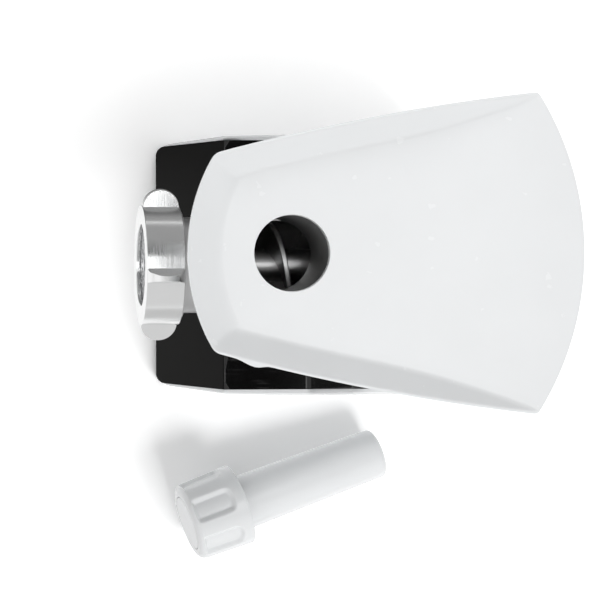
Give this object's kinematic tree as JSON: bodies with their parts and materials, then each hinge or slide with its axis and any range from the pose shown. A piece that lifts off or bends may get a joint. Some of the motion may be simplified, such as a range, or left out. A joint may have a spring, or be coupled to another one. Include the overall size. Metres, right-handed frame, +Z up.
{
  "type": "electric meat grinder",
  "caption": "Electric meat grinder with an L-shaped housing, horizontal grinding head with lobed screw ring, trapezoid meat tray on the feed tube and a separate food pusher.",
  "frame": {"origin": "on the table, in the vertical plane of the barrel's axis, level with the feed tube's axis", "axes": "+Z up, -X the way the mince comes out, +Y to the machine's right-hand side as seen from behind the tray"},
  "size_m": [0.273, 0.3234, 0.25],
  "materials": {
    "white_plastic": "glossy white moulded plastic",
    "black_gloss": "polished black moulded plastic",
    "charcoal_plastic": "satin charcoal moulded plastic",
    "head_metal": "turned and brushed light metal",
    "cast_metal": "as-cast light metal",
    "steel": "ground steel",
    "laminated_steel": "stacked electrical sheet",
    "sintered_bronze": "oiled sintered bronze",
    "copper_winding": "enamelled copper",
    "nylon": "natural nylon",
    "rubber": "soft black rubber",
    "board": "lacquered circuit board",
    "carbon": "matt black"
  },
  "bodies": {
    "housing": {"base_plate": "charcoal_plastic", "foot_ring": "rubber", "left_shell": "white_plastic", "right_shell": "white_plastic", "front_panel": "charcoal_plastic", "top_cover": "black_gloss", "rear_cover": "white_plastic", "vent_grille": "charcoal_plastic", "cable_gland": "rubber", "housing_screws": "steel", "button_bezel": "white_plastic", "socket_ring": "charcoal_plastic", "gearbox_housing": "cast_metal", "gearbox_cover": "cast_metal", "gearbox_screws": "steel", "gear_axles": "steel", "spindle_bushes": "sintered_bronze", "spindle_seal": "rubber", "motor_bracket": "cast_metal", "stator_core": "laminated_steel", "field_coils": "copper_winding", "motor_bolts": "steel", "motor_bearings": "steel", "brush_holders": "sintered_bronze", "carbon_brushes": "carbon", "motor_pads": "rubber", "circuit_board": "board", "board_parts": "carbon", "switch_block": "charcoal_plastic"},
    "rotor": {"rotor_shaft": "steel", "armature_core": "laminated_steel", "armature_windings": "copper_winding", "commutator": "copper_winding", "cooling_fan": "nylon", "motor_pinion": "steel"},
    "gear_1": {"first_gear": "nylon", "first_pinion": "steel"},
    "gear_2": {"second_gear": "steel", "second_pinion": "steel"},
    "output": {"output_gear": "steel", "output_spindle": "steel"},
    "head": {"grinder_barrel": "head_metal", "auger_bush": "nylon"},
    "auger_set": {"auger": "head_metal", "auger_stud": "steel", "cross_knife": "steel"},
    "plate": {"hole_plate": "steel"},
    "ring": {"screw_ring": "head_metal"},
    "tray": {"meat_tray": "white_plastic"},
    "pusher": {"pusher_stem": "white_plastic", "pusher_cap": "white_plastic", "pusher_disc": "white_plastic"},
    "power": {"power_button": "white_plastic"},
    "reverse": {"reverse_button": "charcoal_plastic"},
    "release": {"release_button": "charcoal_plastic", "latch_yoke": "steel"}
  },
  "joints": [
    {"name": "output_spin", "type": "hinge", "parent": "housing", "child": "output", "pos_m": [0.096, 0, 0.145], "axis": [1, 0, 0], "continuous": true},
    {"name": "gear_2_spin", "type": "hinge", "parent": "housing", "child": "gear_2", "pos_m": [0.083, -0.00434, 0.10398], "axis": [1, 0, 0], "continuous": true},
    {"name": "gear_1_spin", "type": "hinge", "parent": "housing", "child": "gear_1", "pos_m": [0.072, 0.01903, 0.08067], "axis": [1, 0, 0], "continuous": true},
    {"name": "rotor_spin", "type": "hinge", "parent": "housing", "child": "rotor", "pos_m": [0.029, 0, 0.058], "axis": [1, 0, 0], "continuous": true},
    {"name": "head_slide", "type": "slide", "parent": "housing", "child": "head", "axis": [-1, 0, 0], "range_m": [0, 0.045]},
    {"name": "auger_spin", "type": "hinge", "parent": "head", "child": "auger_set", "pos_m": [-0.02, 0, 0.145], "axis": [1, 0, 0], "continuous": true},
    {"name": "plate_travel", "type": "slide", "parent": "head", "child": "plate", "axis": [-1, 0, 0], "range_m": [0, 0.0061]},
    {"name": "ring_turn", "type": "hinge", "parent": "plate", "child": "ring", "pos_m": [-0.073, 0, 0.145], "axis": [-1, 0, 0], "range_deg": [0, 720]},
    {"name": "tray_lift", "type": "slide", "parent": "head", "child": "tray", "axis": [0, 0, 1], "range_m": [0, 0.1]},
    {"name": "pusher_lift", "type": "slide", "parent": "housing", "child": "pusher", "axis": [0, 0, 1], "range_m": [0, 0.2]},
    {"name": "power_press", "type": "slide", "parent": "housing", "child": "power", "axis": [0.9334, 0, -0.3589], "range_m": [0, 0.0025], "stiffness_N_per_m": 600, "springref_m": -0.002},
    {"name": "reverse_press", "type": "slide", "parent": "housing", "child": "reverse", "axis": [0.9334, 0, -0.3589], "range_m": [0, 0.0025], "stiffness_N_per_m": 600, "springref_m": -0.002},
    {"name": "release_press", "type": "slide", "parent": "housing", "child": "release", "axis": [0, -1, 0], "range_m": [0, 0.004], "stiffness_N_per_m": 800, "springref_m": -0.003}
  ],
  "couplings": [
    {"joint": "gear_2_spin", "follows": "output_spin", "ratio": -4.5},
    {"joint": "gear_1_spin", "follows": "output_spin", "ratio": 20.25},
    {"joint": "rotor_spin", "follows": "output_spin", "ratio": -86.786},
    {"joint": "auger_spin", "follows": "output_spin", "ratio": 1},
    {"joint": "plate_travel", "follows": "ring_turn", "m_per_rad": 0.00047746}
  ]
}
